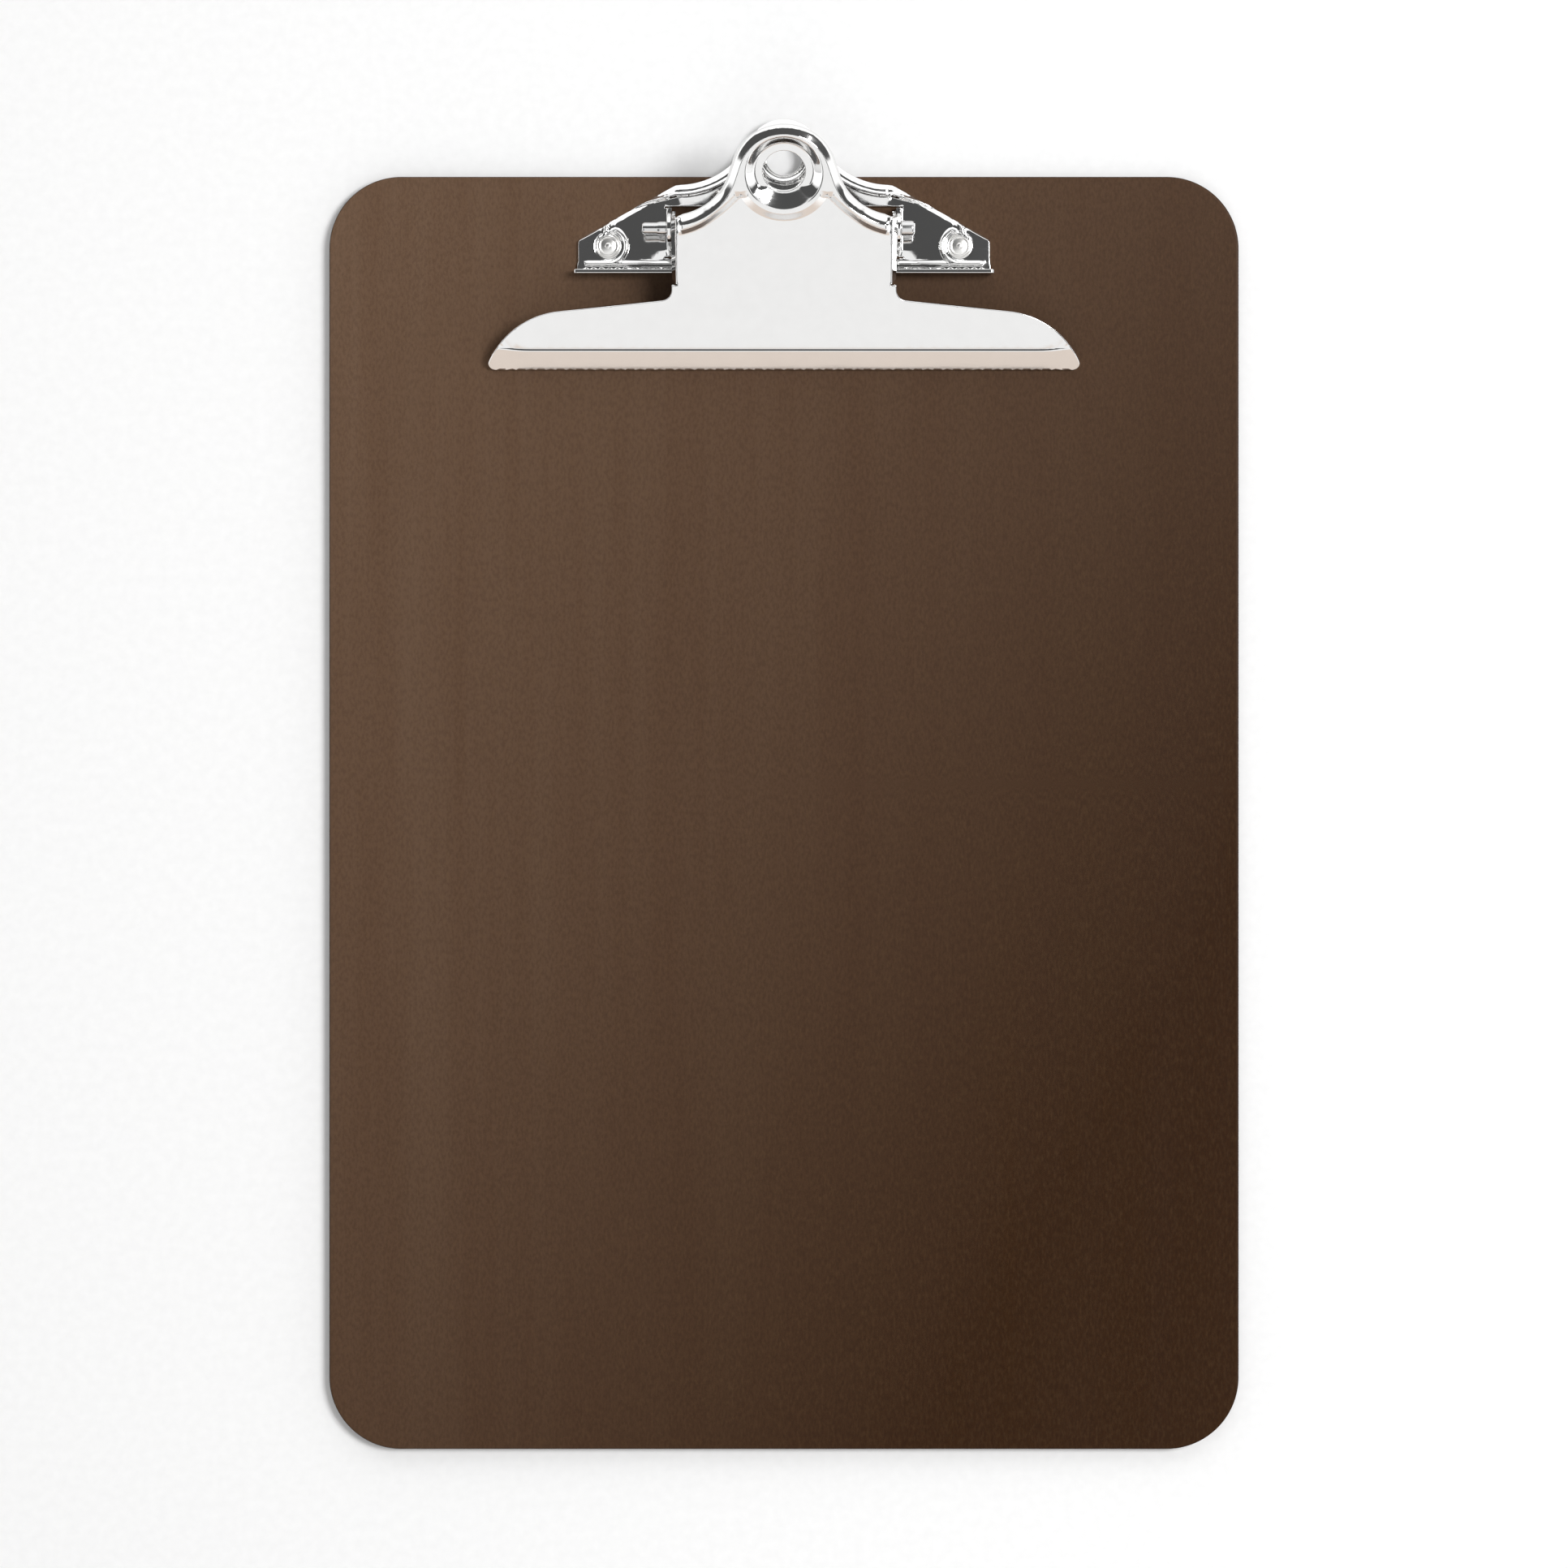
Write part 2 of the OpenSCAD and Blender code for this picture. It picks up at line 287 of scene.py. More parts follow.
def formed_sheet(loops, seeds, top, place, thickness, edge_r):
    """The vertices and faces of a closed sheet with rounded edges.

    loops are the blank's outline and holes, seeds are points where the triangles should be finer, top
    gives the height of the raised shape, and place folds the blank, from its plane into space."""
    rows = [d * edge_r / EDGE_ROWS_R for d in both_sides(EDGE_ROWS)]
    seeds = np.concatenate([*[offsets(loop, True, rows) for loop in loops], *seeds])
    seeds = seeds[inside(seeds, loops)]
    seeds = seeds[distance(seeds, loops) > 0.9 * EDGE_ROWS[0] * edge_r / EDGE_ROWS_R]
    keys = np.round(seeds / SEED_GAP).astype(int)
    seeds = seeds[np.unique(keys, axis=0, return_index=True)[1]]
    points, edges = [], []
    for loop in loops:
        start, n = len(points), len(loop)
        points += [Vector(p) for p in loop]
        edges += [(start + i, start + (i + 1) % n) for i in range(n)]
    points += [Vector(p) for p in seeds]
    flat, _, faces, *_ = delaunay_2d_cdt(points, edges, [], 0, CDT_GAP)
    flat = np.array([tuple(v) for v in flat])
    faces = np.array(faces, int)
    faces = faces[inside(flat[faces].mean(1), loops)]
    a, b, c = (flat[faces[:, i]] for i in range(3))
    turned = (b - a)[:, 0] * (c - a)[:, 1] - (b - a)[:, 1] * (c - a)[:, 0] < 0
    faces[turned] = faces[turned][:, ::-1]
    used, compact = np.unique(faces, return_inverse=True)
    flat, faces = flat[used], compact.reshape(-1, 3)
    n = len(flat)
    gap = np.minimum(distance(flat, loops), edge_r)
    fall = edge_r - np.sqrt(np.maximum(edge_r**2 - (edge_r - gap) ** 2, 0))
    height = top(flat)
    vertices = np.concatenate([place(flat, height - fall), place(flat, height - thickness + fall)])
    pairs = np.concatenate([faces[:, [0, 1]], faces[:, [1, 2]], faces[:, [2, 0]]])
    seen = {tuple(p) for p in pairs.tolist()}
    walls = [(j, i, i + n, j + n) for i, j in seen if (j, i) not in seen]
    return vertices, faces.tolist() + (faces[:, ::-1] + n).tolist() + walls


def hoop(centre, r, side, other, count):
    """Points round a circle in the plane of two directions."""
    return [centre + r * (math.cos(a) * side + math.sin(a) * other)
            for a in np.arange(count) * 2 * math.pi / count]


def lathe(profile, at, axis, turns):
    """Vertices and faces of a solid of revolution. profile lists (radius, distance along the axis)."""
    axis = unit(axis)
    side = unit(np.cross(axis, [0.3, 0.2, 1] if abs(axis[2]) < 0.9 else [1, 0, 0]))
    other = np.cross(axis, side)
    vertices, rows = [], []
    for r, t in profile:
        centre = np.asarray(at, float) + axis * t
        ring = [centre] if r < TINY else hoop(centre, r, side, other, turns)
        rows.append(list(range(len(vertices), len(vertices) + len(ring))))
        vertices += ring
    faces = []
    for low, high in zip(rows, rows[1:]):
        for k in range(turns):
            m = (k + 1) % turns
            if len(low) == 1:
                faces.append((low[0], high[k], high[m]))
            elif len(high) == 1:
                faces.append((low[k], high[0], low[m]))
            else:
                faces.append((low[k], high[k], high[m], low[m]))
    return np.array(vertices), [f[::-1] for f in faces]


def sweep(path, radii, sides):
    """Vertices and faces of a round wire along a path, with flat ends."""
    along = np.gradient(path, axis=0)
    along /= np.linalg.norm(along, axis=1)[:, None]
    side = unit(np.cross(along[0], [0, 0.3, 1]))
    vertices = []
    for p, t, r in zip(path, along, radii):
        side = unit(side - (side @ t) * t)
        vertices += hoop(p, r, side, np.cross(t, side), sides)
    faces = []
    last = (len(path) - 1) * sides
    for low in range(0, last, sides):
        for k in range(sides):
            m = (k + 1) % sides
            faces.append((low + k, low + m, low + sides + m, low + sides + k))
    faces += [tuple(range(sides - 1, -1, -1)), tuple(range(last, last + sides))]
    return np.array(vertices), faces


# ---- Materials ----


class Nodes:
    """A short way to write the nodes of a material or a world, which end in its shader."""

    def __init__(self, owner, shader):
        owner.use_nodes = True
        self.tree = owner.node_tree
        self.shader = self.tree.nodes[shader]

    def add(self, kind, inputs=None, **settings):
        node = self.tree.nodes.new(kind)
        for key, value in settings.items():
            setattr(node, key, value)
        for key, value in (inputs or {}).items():
            self.put(node.inputs[key], value)
        return node

    def put(self, socket, value):
        if isinstance(value, bpy.types.NodeSocket):
            self.tree.links.new(value, socket)
        elif isinstance(value, tuple) and socket.type == "RGBA" and len(value) == 3:
            socket.default_value = (*value, 1)
        else:
            socket.default_value = value

    def shade(self, **inputs):
        for key, value in inputs.items():
            self.put(self.shader.inputs[key.replace("_", " ")], value)

    def position(self, scale=(1, 1, 1)):
        where = self.add("ShaderNodeTexCoord").outputs["Object"]
        return self.add("ShaderNodeMapping", {"Vector": where, "Scale": scale}).outputs[0]

    def axes(self, kind, output):
        """The X, Y and Z of a node's output."""
        return self.add("ShaderNodeSeparateXYZ", {0: self.add(kind).outputs[output]}).outputs

    def noise(self, vector, scale, detail=3.0, roughness=0.5):
        inputs = {"Vector": vector, "Scale": scale, "Detail": detail, "Roughness": roughness}
        return self.add("ShaderNodeTexNoise", inputs).outputs["Fac"]

    def maths(self, operation, *values):
        return self.add("ShaderNodeMath", dict(enumerate(values)), operation=operation).outputs[0]

    def span(self, value, low, high, to_low, to_high, **settings):
        inputs = {"Value": value, "From Min": low, "From Max": high, "To Min": to_low, "To Max": to_high}
        return self.add("ShaderNodeMapRange", inputs, **settings).outputs["Result"]

    def mix(self, factor, a, b, blend="MIX"):
        node = self.add("ShaderNodeMix", data_type="RGBA", blend_type=blend)
        for socket, value in ((node.inputs[0], factor), (node.inputs[6], a), (node.inputs[7], b)):
            self.put(socket, value)
        return node.outputs[2]

    def bump(self, height, strength, distance_m, normal=None):
        inputs = {"Height": height, "Strength": strength, "Distance": distance_m}
        if normal is not None:
            inputs["Normal"] = normal
        return self.add("ShaderNodeBump", inputs).outputs["Normal"]


def new_material(name):
    material = bpy.data.materials.new(name)
    return material, Nodes(material, "Principled BSDF")


def chrome(name, colour, low, high, scratch_scale):
    """Plated steel: bright, with faint patches of haze and fine rub marks."""
    material, n = new_material(name)
    haze = n.noise(n.position(), 55.0, 4.0)
    rub = n.noise(n.position((1.0, 14.0, 1.0)), scratch_scale, 3.0, 0.6)
    rough = n.maths("ADD", n.span(haze, 0.35, 0.7, low, high), n.span(rub, 0.55, 0.8, 0.0, 0.05))
    grime = n.span(n.noise(n.position(), 240.0, 5.0, 0.65), 0.3, 0.75, 0.0, 1.0)
    tint = n.mix(grime, tuple(c * 0.97 for c in colour), colour)
    ripple = n.bump(n.noise(n.position(), 38.0, 1.0), 0.08, 0.0004)
    grain = n.bump(n.noise(n.position(), 1400.0, 2.0), 0.05, 0.00004, ripple)
    n.shade(Base_Color=tint, Metallic=1.0, Roughness=rough, Normal=grain)
    return material


def hardboard(name):
    """Dark pressed fibre board: faint streaks along its length, fine fibre specks and raw, darker edges.

    Its own brown carries a painted sheen: lighter towards its top left, and darker and redder towards its right
    side and its lower end."""
    material, n = new_material(name)
    streak = n.noise(n.position((1.0, 0.045, 1.0)), 90.0, 5.0, 0.62)
    broad = n.noise(n.position((1.0, 0.25, 1.0)), 9.0, 3.0, 0.5)
    fibre = n.noise(n.position((1.0, 0.35, 1.0)), 1500.0, 4.0, 0.7)
    speck = n.noise(n.position(), 620.0, 6.0, 0.75)
    grit = n.noise(n.position((1.0, 0.5, 1.0)), 1500.0, 3.0, 0.7)
    # Painted sheen over the board's own brown: the colour runs from lighter at the top left to darker and
    # redder towards the right side and the lower end
    where = n.axes("ShaderNodeTexCoord", "Object")
    across = n.span(where["X"], -0.115, 0.115, 0.0, 0.7)
    down = n.span(where["Y"], 0.15, -0.165, 0.0, 0.55)
    colour = n.mix(n.maths("ADD", across, down), (0.166, 0.103, 0.067), (0.029, 0.009, 0.0006))
    # Each layer's texture, the values where it starts and is full, its strength, its colour and its blend
    layers = (
        (broad, 0.35, 0.65, 0.12, (0.085, 0.052, 0.028), "MIX"),
        (streak, 0.3, 0.7, 0.2, (0.03, 0.015, 0.007), "MIX"),
        (fibre, 0.45, 0.75, 0.22, (0.12, 0.07, 0.032), "MIX"),
        (speck, 0.62, 0.78, 0.4, (0.02, 0.011, 0.007), "MIX"),
        (grit, 0.42, 0.62, 0.3, (0.45, 0.42, 0.4), "MULTIPLY"),
        (streak, 0.35, 0.65, 0.6, (1.0, 0.92, 0.86), "MULTIPLY"),
    )
    for texture, start, full, strength, tone, blend in layers:
        colour = n.mix(n.span(texture, start, full, 0.0, strength), colour, tone, blend)
    facing = n.maths("ABSOLUTE", n.axes("ShaderNodeNewGeometry", "Normal")["Z"])
    side = n.span(facing, 0.35, 0.9, 1.0, 0.0)
    colour = n.mix(side, colour, (0.022, 0.012, 0.008))
    rough = n.maths("ADD", n.span(streak, 0.3, 0.7, 0.36, 0.46), n.span(side, 0.0, 1.0, 0.0, 0.35))
    relief = n.bump(broad, 0.15, 0.0004, n.bump(fibre, 0.25, 0.00006))
    n.shade(Base_Color=colour, Roughness=rough, Specular_IOR_Level=0.09, Normal=relief)
    return material


CHROME = (0.835, 0.832, 0.826)
MATERIALS = {
    "board": hardboard("hardboard"),
    "lever": chrome("lever chrome", CHROME, 0.07, 0.12, 160.0),
    "base": chrome("base chrome", CHROME, 0.06, 0.11, 160.0),
    "rivet": chrome("rivet nickel", (0.9, 0.89, 0.87), 0.27, 0.35, 300.0),
    "pin": chrome("pin nickel", (0.7, 0.7, 0.7), 0.16, 0.26, 400.0),
    "spring": chrome("spring steel", (0.42, 0.42, 0.43), 0.22, 0.34, 500.0),
}

SHEET_T = 1.0
EDGE_R = 0.22

# ---- Board ----

CORNER_R = 18.0
BOARD_EDGE_R = 0.45
RIVET = np.array([44.0, BOARD_END - 17.45])
RIVET_R = 1.8
RIVET_HEAD_R = 4.0
HEAD_GAP = 0.03


def make_board():
    (x, y0), y1 = BOARD_LOW[:2] * [-1, 1], BOARD_END
    half = chain(
        line([0, y0], [x - CORNER_R, y0], 6),
        arc([x - CORNER_R, y0 + CORNER_R], CORNER_R, -90, 0, 0.7),
        line([x, y0 + CORNER_R], [x, y1 - CORNER_R], 6),
        arc([x - CORNER_R, y1 - CORNER_R], CORNER_R, 0, 90, 0.7),
        line([x - CORNER_R, y1], [0, y1], 6),
    )
    loops = [whole(half)] + [circle(RIVET * [s, 1], RIVET_HEAD_R + HEAD_GAP) for s in (1, -1)]

    def top(p):
        return np.full(len(p), BOARD_T)

    def place(p, h):
        return np.column_stack([p, h])

    shape = formed_sheet(loops, [grid(-x, x, y0, y1, 12)], top, place, BOARD_T, BOARD_EDGE_R)
    piece = new_mesh("board_panel", *shape, "board_assembly", "hardboard", MATERIALS["board"])
    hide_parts("board")


# ---- Clip base ----

BASE_TOP = BOARD_T + SHEET_T
BASE_X = 51.8
BASE_Y0 = BOARD_END - 24.65
BASE_SIDE_Y = BOARD_END - 15.85
BASE_GAP = 0.01
SHOULDER = np.array([27.2, BOARD_END - 2.1])
NECK_R = 19.6
NECK = np.array([26.4, SHOULDER[1] + NECK_R])
LOOP_R = 9.6
LOOP = np.array([0.0, BASE_HIGH[1] - LOOP_R])
HANG_R = 4.6

STOP_X = BASE_HIGH[0]
STOP_BEND = 0.5
STOP_ARC = STOP_BEND * math.pi / 2
STOP_Y = BASE_Y0 + SHEET_T + STOP_BEND
STOP_TOP = BOARD_T + 5.0
STOP_NOTCH = 0.3
# The radii of the stop's corner, the notch beside its bend and the base's two side corners
CORNER_RADII = (0.9, 0.2, 0.1, 1.6)

EAR_BEND = 0.8
EAR_ARC = EAR_BEND * math.pi / 2
EAR_X = 29.05
EAR_FOLD_X = EAR_X + EAR_BEND
EAR_ROOT_X = EAR_X - 0.4
EAR_HALF = 6.15
EAR_Y0, EAR_Y1 = PIVOT[1] - EAR_HALF, PIVOT[1] + EAR_HALF
EAR_R = 3.8
PIN_R = 1.5
WINDOW_X = 15.0
WINDOW_R = 1.2
SLIT = 0.3

BEAD_H = 0.48
BEAD_HALF = 0.8
BEAD_INSET = 2.55
BEAD_TURN = -88
BEAD_CORNER_R = 3.0
LOWER_BEAD = np.array([BASE_X - 2.3, BASE_Y0 + 2.8])
CURL_R = 4.5
RING_R = 6.3
RING_HALF = 0.9

# A pair in brackets is where something starts and where it is full
# The edge falls towards the board, over a width that grows inboard of the rivets and shrinks below the
# side corner
RIM_FALL = 0.75
RIM_SIDE = 0.62
RIM_WIDER, RIM_WIDER_X = 0.8, (43.8, 42.8)
RIM_NARROWER, RIM_NARROWER_Y = 0.3, (-0.5, 0.5)
# The coin is the flat pressed down round each rivet
COIN_DROP, COIN_R = 0.14, (3.6, 3.35)
# The plate dips towards the paper stop, and dips sooner in the middle
DISH_CURVE, DISH_REACH = 0.055, 3.0
DISH_Y, DISH_SOONER = LOWER_BEAD[1] + 0.6, 4.2
DISH_X, DISH_FADE = 29, 11
DISH_END = (41, 37)
# The plate rises from the ears to the neck, between its middle and its edge
NECK_RISE, NECK_REACH = 0.17, 4.5
NECK_IN, NECK_OUT = (9, 13), (27.2, 25.6)


def bent_up(u, h, bend):
    """How far a sheet's point at height h runs and rises, u past the start of a quarter bend."""
    f = np.clip(u / bend, 0, math.pi / 2)
    beyond = np.maximum(u - bend * math.pi / 2, 0)
    return (bend - h) * np.sin(f), bend - (bend - h) * np.cos(f) + beyond


def base_parts():
    """The blank's half outline, its holes, its bead lines and the pin's place on the unfolded ear."""
    to_loop = unit(LOOP - NECK)
    waist = math.degrees(math.atan2(to_loop[1], to_loop[0]))
    stop_end = STOP_Y - (STOP_ARC + STOP_TOP - BASE_TOP - STOP_BEND)
    half = chain(
        rounded([[0, stop_end], [STOP_X, stop_end], [STOP_X, STOP_Y - STOP_NOTCH], [BASE_X, STOP_Y],
                 [BASE_X, BASE_SIDE_Y], SHOULDER], CORNER_RADII),
        arc(NECK, NECK_R, -90, waist - 360 if waist > 0 else waist),
        arc(LOOP, LOOP_R, waist + 180, 90),
    )
    pin_at = np.array([EAR_FOLD_X - EAR_ARC - (PIVOT[2] - BASE_TOP - EAR_BEND), PIVOT[1]])
    low, angle_low = tangent_point([EAR_ROOT_X, EAR_Y0], pin_at, EAR_R, -1)
    high, angle_high = tangent_point([EAR_ROOT_X, EAR_Y1], pin_at, EAR_R, 1)
    window = chain(
        rounded([[EAR_FOLD_X, EAR_Y0 - SLIT], [WINDOW_X, EAR_Y0 - SLIT],
                 [WINDOW_X, EAR_Y1 + SLIT], [EAR_FOLD_X, EAR_Y1 + SLIT]], [WINDOW_R, WINDOW_R]),
        line([EAR_FOLD_X, EAR_Y1], [EAR_ROOT_X, EAR_Y1], 0.4),
        line([EAR_ROOT_X, EAR_Y1], high),
        arc(pin_at, EAR_R, angle_high, angle_low + 360 if angle_low < angle_high else angle_low, 0.4),
        line(low, [EAR_ROOT_X, EAR_Y0]),
        line([EAR_ROOT_X, EAR_Y0], [EAR_FOLD_X, EAR_Y0], 0.4),
    )
    holes = [circle(LOOP, HANG_R)]
    for s in ([1, 1], [-1, 1]):
        holes += [np.array(window) * s, circle(pin_at, PIN_R, 0.3) * s, circle(RIVET, RIVET_R, 0.4) * s]
    slope = unit(SHOULDER - [BASE_X, BASE_SIDE_Y])
    inward = np.array([-slope[1], slope[0]])
    gap = (RIVET - SHOULDER) @ inward - BEAD_INSET
    start = RIVET - gap * inward + math.sqrt(CURL_R**2 - gap**2) * slope
    from_rivet = start - RIVET
    curl = math.degrees(math.atan2(from_rivet[1], from_rivet[0]))
    bead_r = NECK_R + BEAD_INSET
    upper = chain(
        arc(NECK, bead_r, waist, BEAD_TURN, 0.45),
        rounded([NECK + polar(bead_r, BEAD_TURN), SHOULDER + BEAD_INSET * inward, start], [BEAD_CORNER_R]),
        arc(RIVET, CURL_R, curl, 270, 0.45),
    )
    lower = line([0, LOWER_BEAD[1]], LOWER_BEAD, 0.6)
    return half, holes, [upper, lower], pin_at


def make_base():
    half, holes, beads, pin_at = base_parts()
    loops = [whole(half)] + holes
    bead_lines = beads + [mirrored(b) for b in beads]
    edge = [p for p in half if p[1] > STOP_Y + 1.0]
    outer = chain(edge, mirrored(edge))

    def swell(off, half_width):
        return BEAD_H * np.cos(math.pi / 2 * np.clip(off / half_width, -1, 1)) ** 2

    def top(p):
        x, y = np.abs(p[:, 0]), p[:, 1]
        bead = swell(distance(p, bead_lines, closed=False), BEAD_HALF)
        ring = swell(np.linalg.norm(p - LOOP, axis=1) - RING_R, RING_HALF)
        width = (RIM_SIDE + RIM_WIDER * smooth(*RIM_WIDER_X, x)
                 - RIM_NARROWER * smooth(*RIM_NARROWER_Y, BASE_SIDE_Y - y))
        rim = -RIM_FALL * ramp(0, 1, 1 - distance(p, [outer], closed=False) / width, 0.1)
        from_rivet = np.linalg.norm(np.column_stack([x, y]) - RIVET, axis=1)
        coin = -COIN_DROP * ramp(*COIN_R, from_rivet, 0.06)
        reach = DISH_Y + DISH_SOONER * np.clip(1 - (x - DISH_X) / DISH_FADE, 0, 1) - y
        dish = -DISH_CURVE * np.clip(reach, 0, DISH_REACH) ** 2 * smooth(*DISH_END, x)
        neck = NECK_RISE * np.clip(y - EAR_Y1, 0, NECK_REACH) * smooth(*NECK_IN, x) * smooth(*NECK_OUT, x)
        return np.where(y > STOP_Y + 0.1, np.maximum(bead, ring) + coin + rim + dish + neck, 0)

    def place(p, h):
        x, y = p[:, 0], p[:, 1]
        out = np.column_stack([x, y, BASE_TOP + h])
        stop = y < STOP_Y
        run, rise = bent_up(STOP_Y - y, h, STOP_BEND)
        out[stop, 1] = (STOP_Y - run)[stop]
        out[stop, 2] = (BASE_TOP + rise)[stop]
        u = EAR_FOLD_X - np.abs(x)
        on_tab = (np.abs(x) > pin_at[0] - EAR_R - 0.5) & (np.abs(y - PIVOT[1]) < EAR_HALF + SLIT / 2)
        ear = (u > 0) & on_tab
        run, rise = bent_up(u, h, EAR_BEND)
        out[ear, 0] = (np.sign(x) * (EAR_FOLD_X - run))[ear]
        out[ear, 2] = (BASE_TOP + rise)[ear]
        return out

    bead_rows = both_sides((0, 0.13, 0.27, 0.4, 0.53, 0.67, 0.8, 0.95, 1.1))
    ring_rows = (5.3, 5.5, 5.7, 5.9, 6.1, 6.3, 6.5, 6.7, 6.9, 7.1, 7.3, 7.7, 8.1, 8.3, 8.6, 8.9, 9.2)
    coin_rows = (2.4, 2.9, 3.2, 3.3, 3.4, 3.5, 3.6, 3.7, 3.85)
    ear_rows = EAR_FOLD_X - np.linspace(0, EAR_ARC, 6)
    stop_rows = STOP_Y - np.array([0, 0.13, 0.26, 0.39, 0.52, 0.65, STOP_ARC, 1.2])
    rim_rows = (0.5, 0.62, 0.75, 0.95, 1.15, 1.3)
    seeds = [offsets(b, False, bead_rows) for b in bead_lines]
    seeds += [circle(LOOP, r, 0.45) for r in ring_rows]
    seeds += [both(circle(RIVET, r, 0.5)) for r in coin_rows]
    seeds += [both(row([x, EAR_Y0], [x, EAR_Y1], 1.0)) for x in ear_rows]
    seeds += [row([-STOP_X, y], [STOP_X, y], 2.0) for y in stop_rows]
    seeds += [grid(-BASE_X, BASE_X, STOP_Y + 0.5, BASE_HIGH[1], 2.0)]
    seeds += [offsets(outer, False, rim_rows)]
    vertices, faces = formed_sheet(loops, seeds, top, place, SHEET_T, EDGE_R)
    vertices[:, 2] = np.maximum(vertices[:, 2], BOARD_T + BASE_GAP)
    shape = vertices, faces
    piece = new_mesh("clip_base_plate", *shape, "board_assembly", "base_chrome", MATERIALS["base"])
    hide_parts("clip_base")


# ---- Clip lever ----

# Places on the lever are (x, v), with v up its plate from the pivot. w is the height above the pivot,
# square to the plate
TILT = math.radians(27.0)
PLATE_W = 9.95
HOLE = np.array([0.0, 18.2])
HOLE_R = 5.2
THUMB = np.array([0.0, 17.1])
THUMB_R = 13.1
STEM_X = 27.9
FLARE = np.array([28.0, 21.2])
FLARE_R = 14.8
WAIST_R = 3.0
WAIST_V = -12.5
WING_R = 21.6
WING = np.array([53.6, -39.7])
WING_SLOPE = 6.2
TIP_R = 2.0

# The jaw's crease, which climbs near its ends, and the groove pressed along it
CREASE_V = -28.6
CREASE_RISE, CREASE_X = 1.0, (64, 75)
GROOVE = 0.3
GROOVE_W = 0.32
LIP_GAP = 0.12
JAW_X = 76
# The rows of points along the lip are laid twice, this far apart
HAIR = 1e-4

# The raised rim round the thumb loop rolls down and ends in a gentle slope, which is wider low on the loop
RIM_H = 0.83
ROLL_W, ROLL_DROP = 1.9, 1.5
EDGE_W, EDGE_SLOPE = 0.5, 0.6
EDGE_WIDER, EDGE_WIDER_V = 1.2, (14, 11)
# The slanting band from the stem up to the rim
BAND_W, BAND_WIDER, BAND_WIDER_X = 1.65, 0.35, (11.5, 9)
BAND_END = 1.3
# The bowl down to the collar round the hole, which is narrower at the bottom, by the angle from straight down
BOWL_R = 9.5
COLLAR_R = 7.25
COLLAR_H = -1.1
COLLAR_LOW_R, COLLAR_LOW = HOLE_R + 0.35, (62, 42)

# The flange's tab on the blank, its fold and its lug
FLANGE_HIGH, FLANGE_LOW = 6.1, -11.1
FOLD_X = STEM_X - 1.5
FOLD_LEAN = math.radians(72)
FOLD_R, FOLD_END_R = 0.5, 0.6
TAB_X = FOLD_X + 1.2
TAB_LOW_X = TAB_X + 4.2
RELIEF = 0.3
LUG_R = 4.25
LUG_HOLE_R = 1.55


def fold_curve():
    """The flange's section: distance from the fold's start, run outward, drop and slope.

    It leans, and then stands upright."""
    step, reach, lean = 0.01, 20, FOLD_LEAN
    first, second = FOLD_R * lean, FOLD_END_R * (math.pi / 2 - lean)
    across = STEM_X - FOLD_X - FOLD_R * math.sin(lean) - FOLD_END_R * (1 - math.sin(lean))
    slant = across / math.cos(lean)
    u = np.arange(0, reach, step)
    slope = np.interp(u, [0, first, first + slant, first + slant + second], [0, lean, lean, math.pi / 2])
    run = np.concatenate([[0], np.cumsum(np.cos(slope[:-1]) * step)])
    drop = np.concatenate([[0], np.cumsum(np.sin(slope[:-1]) * step)])
    return u, run, drop, slope


FOLD_U, FOLD_RUN, FOLD_DROP, FOLD_SLOPE = fold_curve()
LUG = np.array([FOLD_X + np.interp(PLATE_W, FOLD_DROP, FOLD_U), 0.0])


def lip_curve():
    """The lip's section, down to the board: distance from the crease, shift along the plate, drop and slope."""
    step, reach, start, end, soft, length = 0.05, 12, 15.0, 21.0, 0.4, 6.0
    s = np.arange(0, reach, step)
    slope = np.radians(start * smooth(0, soft, s) + (end - start) * np.clip(s / length, 0, 1.1))
    shift = -np.concatenate([[0], np.cumsum(np.cos(slope[:-1]) * step)])
    drop = -np.concatenate([[0], np.cumsum(np.sin(slope[:-1]) * step)])
    v, w = CREASE_V + shift, PLATE_W + drop
    under_v, under_w = v + SHEET_T * np.sin(slope), w - SHEET_T * np.cos(slope)
    z = PIVOT[2] + under_v * math.sin(TILT) + under_w * math.cos(TILT)
    last = np.argmax(z < BOARD_T + LIP_GAP)
    return [values[: last + 1] for values in (s, shift, drop, slope)]


LIP_S, LIP_SHIFT, LIP_DROP, LIP_SLOPE = lip_curve()
LIP_END = CREASE_V - LIP_S[-1]


